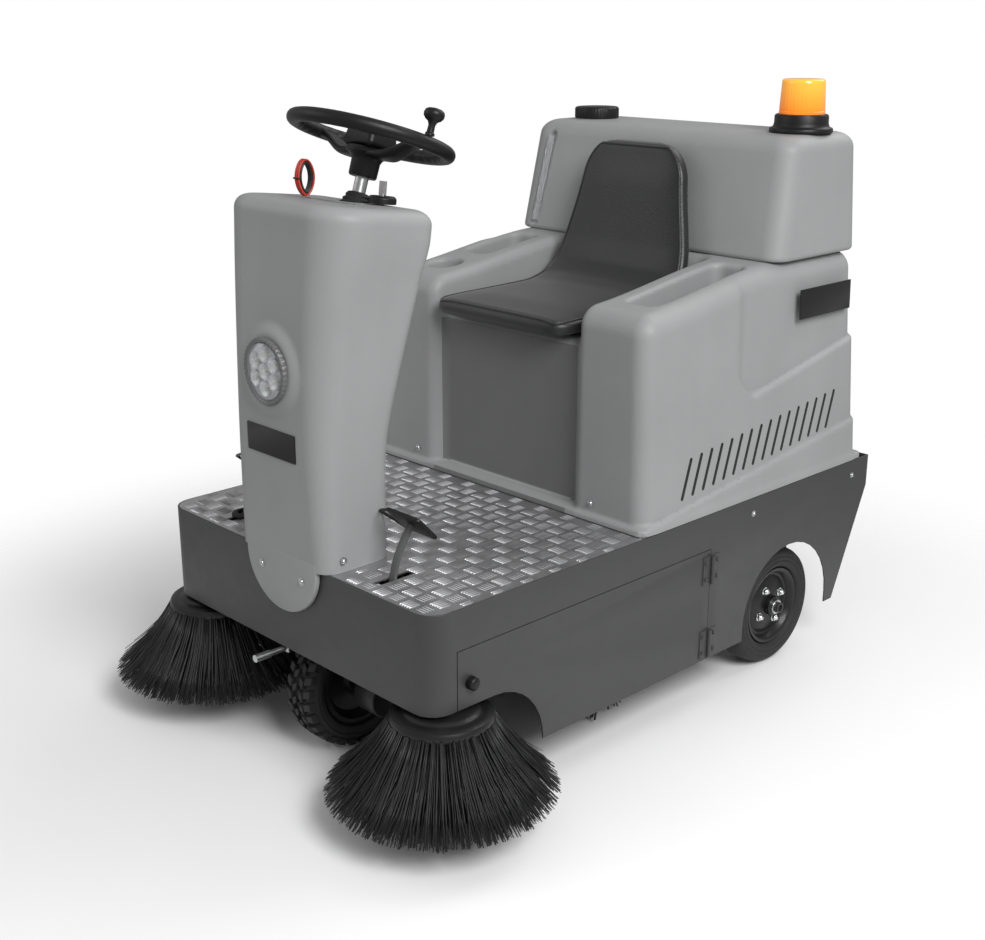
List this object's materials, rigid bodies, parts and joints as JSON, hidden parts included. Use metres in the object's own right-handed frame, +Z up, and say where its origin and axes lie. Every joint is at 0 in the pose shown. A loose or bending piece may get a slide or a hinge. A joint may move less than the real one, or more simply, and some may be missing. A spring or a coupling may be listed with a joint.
{
  "type": "ride-on sweeper",
  "caption": "Compact ride-on floor sweeper with a steering column, moulded seat hood, water tank, side brushes, roller brush and rear debris hopper.",
  "frame": {"origin": "centre of the machine's plan at floor level, under the middle of its whole outline", "axes": "+X to the right side as the rider sits, +Y to the rear, +Z up; the front faces -Y"},
  "size_m": [1.144, 1.484, 1.2603],
  "materials": {
    "frame_paint": "satin dark grey paint",
    "skirt_paint": "satin dark grey powder coat",
    "tread_plate": "bright five-bar tread sheet",
    "tyre": "matte black rubber",
    "rim": "black satin paint",
    "black_plastic": "fine grained black moulding",
    "steering_foam": "soft grained black rim",
    "motor_case": "black enamel",
    "battery_case": "moulded case",
    "steel": "zinc plated",
    "bristle": "black polypropylene bristle",
    "belt_rubber": "matte",
    "filter_paper": "pleated paper",
    "alloy": "plain",
    "pedal_paint": "dark grey enamel",
    "cover_plastic": "rotomoulded grey, slightly mottled satin",
    "lamp_bezel": "grey ribbed bezel",
    "clear_plastic": "clear moulding",
    "amber_plastic": "amber ribbed lens",
    "seat_vinyl": "black grained vinyl",
    "wire": "red and black twin wire"
  },
  "bodies": {
    "root": {"battery_1": "battery_case", "battery_2": "battery_case", "beacon_base": "black_plastic", "beacon_lens": "amber_plastic", "chassis_skirt": "skirt_paint", "column_cover": "cover_plastic", "control_pod": "black_plastic", "drive_belt": "belt_rubber", "fan_housing": "frame_paint", "fan_motor": "motor_case", "filter_box": "frame_paint", "footplate": "tread_plate", "headlight_housing": "lamp_bezel", "headlight_lens": "clear_plastic", "hood": "cover_plastic", "main_frame": "frame_paint", "motor_controller": "alloy", "panel_filter": "filter_paper", "roller_motor": "motor_case", "seat_cushion": "seat_vinyl", "sight_tube": "clear_plastic", "spray_nozzle": "steel", "water_pump": "black_plastic", "water_tank": "cover_plastic", "wire_hank": "wire"},
    "steering": {"steering_shaft": "steel", "steering_wheel": "steering_foam", "hub_cover": "black_plastic"},
    "spinner": {"spinner_knob": "black_plastic"},
    "horn": {"horn_button": "black_plastic"},
    "key": {"ignition_key": "steel"},
    "fork": {"front_fork": "frame_paint", "drive_motor": "motor_case"},
    "front_wheel": {"front_wheel_tyre": "tyre", "front_wheel_rim": "rim"},
    "rear_wheel_left": {"rear_wheel_left_tyre": "tyre", "rear_wheel_left_rim": "rim"},
    "rear_wheel_right": {"rear_wheel_right_tyre": "tyre", "rear_wheel_right_rim": "rim"},
    "brush_arm_left": {"side_brush_arm_left": "frame_paint", "side_brush_motor_left": "motor_case"},
    "brush_arm_right": {"side_brush_arm_right": "frame_paint", "side_brush_motor_right": "motor_case"},
    "side_brush_left": {"side_brush_disc_left": "black_plastic", "side_brush_bristles_left": "bristle"},
    "side_brush_right": {"side_brush_disc_right": "black_plastic", "side_brush_bristles_right": "bristle"},
    "roller": {"roller_core": "steel", "roller_bristles": "bristle", "roller_pulley": "steel"},
    "motor_drive": {"motor_pulley": "steel"},
    "fan": {"fan_wheel": "steel"},
    "debris_hopper": {"hopper": "frame_paint"},
    "door_left": {"side_door_left": "skirt_paint"},
    "door_right": {"side_door_right": "skirt_paint"},
    "knob_left": {"door_knob_left": "black_plastic"},
    "knob_right": {"door_knob_right": "black_plastic"},
    "drive": {"drive_pedal": "pedal_paint"},
    "brake": {"brake_pedal": "pedal_paint"},
    "cap": {"filler_cap": "black_plastic"}
  },
  "joints": [
    {"name": "steering_turn", "type": "hinge", "parent": "root", "child": "steering", "pos_m": [0, -0.3624, 1.1785], "axis": [0, 0.3239, 0.9461], "range_deg": [-55, 55]},
    {"name": "spinner_spin", "type": "hinge", "parent": "steering", "child": "spinner", "pos_m": [0.14225, -0.35299, 1.17528], "axis": [0, 0.3239, 0.9461], "continuous": true},
    {"name": "horn_press", "type": "slide", "parent": "steering", "child": "horn", "axis": [0, -0.3239, -0.9461], "range_m": [0, 0.003], "stiffness_N_per_m": 600, "springref_m": -0.002},
    {"name": "ignition_turn", "type": "hinge", "parent": "root", "child": "key", "pos_m": [0.062, -0.393, 1.06684], "axis": [0, 0.1191, 0.9929], "range_deg": [-90, 0]},
    {"name": "fork_steer", "type": "hinge", "parent": "root", "child": "fork", "pos_m": [0, -0.488, 0.35], "axis": [0, 0, 1], "range_deg": [-55, 55]},
    {"name": "front_wheel_spin", "type": "hinge", "parent": "fork", "child": "front_wheel", "pos_m": [0, -0.4495, 0.134], "axis": [1, 0, 0], "continuous": true},
    {"name": "rear_wheel_left_spin", "type": "hinge", "parent": "root", "child": "rear_wheel_left", "pos_m": [-0.343, 0.447, 0.134], "axis": [1, 0, 0], "continuous": true},
    {"name": "side_brush_lift_left", "type": "hinge", "parent": "root", "child": "brush_arm_left", "pos_m": [-0.345, -0.233, 0.335], "axis": [1, 0, 0], "range_deg": [0, 8]},
    {"name": "side_brush_spin_left", "type": "hinge", "parent": "brush_arm_left", "child": "side_brush_left", "pos_m": [-0.357, -0.527, 0.22], "axis": [0, 0, 1], "continuous": true},
    {"name": "side_door_left_swing", "type": "hinge", "parent": "root", "child": "door_left", "pos_m": [-0.4108, 0.169, 0.23], "axis": [0, 0, -1], "range_deg": [0, 110]},
    {"name": "door_knob_left_turn", "type": "hinge", "parent": "door_left", "child": "knob_left", "pos_m": [-0.393, -0.502, 0.286], "axis": [-1, 0, 0], "range_deg": [0, 90]},
    {"name": "rear_wheel_right_spin", "type": "hinge", "parent": "root", "child": "rear_wheel_right", "pos_m": [0.343, 0.447, 0.134], "axis": [1, 0, 0], "continuous": true},
    {"name": "side_brush_lift_right", "type": "hinge", "parent": "root", "child": "brush_arm_right", "pos_m": [0.345, -0.233, 0.335], "axis": [1, 0, 0], "range_deg": [0, 8]},
    {"name": "side_brush_spin_right", "type": "hinge", "parent": "brush_arm_right", "child": "side_brush_right", "pos_m": [0.357, -0.527, 0.22], "axis": [0, 0, 1], "continuous": true},
    {"name": "side_door_right_swing", "type": "hinge", "parent": "root", "child": "door_right", "pos_m": [0.4108, 0.169, 0.23], "axis": [0, 0, 1], "range_deg": [0, 110]},
    {"name": "door_knob_right_turn", "type": "hinge", "parent": "door_right", "child": "knob_right", "pos_m": [0.393, -0.502, 0.286], "axis": [-1, 0, 0], "range_deg": [0, 90]},
    {"name": "roller_spin", "type": "hinge", "parent": "root", "child": "roller", "pos_m": [0, -0.033, 0.132], "axis": [1, 0, 0], "continuous": true},
    {"name": "motor_pulley_spin", "type": "hinge", "parent": "root", "child": "motor_drive", "pos_m": [-0.352, 0.127, 0.31], "axis": [1, 0, 0], "continuous": true},
    {"name": "fan_spin", "type": "hinge", "parent": "root", "child": "fan", "pos_m": [0, 0.535, 0.6], "axis": [0, 0, 1], "continuous": true},
    {"name": "hopper_slide", "type": "slide", "parent": "root", "child": "debris_hopper", "axis": [0, 1, 0], "range_m": [0, 0.45]},
    {"name": "drive_pedal_press", "type": "hinge", "parent": "root", "child": "drive", "pos_m": [0.22, -0.521, 0.404], "axis": [1, 0, 0], "range_deg": [0, 20], "stiffness_Nm_per_rad": 12, "springref_deg": -8.59},
    {"name": "brake_pedal_press", "type": "hinge", "parent": "root", "child": "brake", "pos_m": [-0.24, -0.521, 0.404], "axis": [1, 0, 0], "range_deg": [0, 20], "stiffness_Nm_per_rad": 12, "springref_deg": -8.59},
    {"name": "filler_cap_lift", "type": "slide", "parent": "root", "child": "cap", "axis": [0, 0, 1], "range_m": [0, 0.06]}
  ],
  "couplings": [
    {"joint": "fork_steer", "follows": "steering_turn", "ratio": 1},
    {"joint": "motor_pulley_spin", "follows": "roller_spin", "ratio": 2.1905}
  ]
}
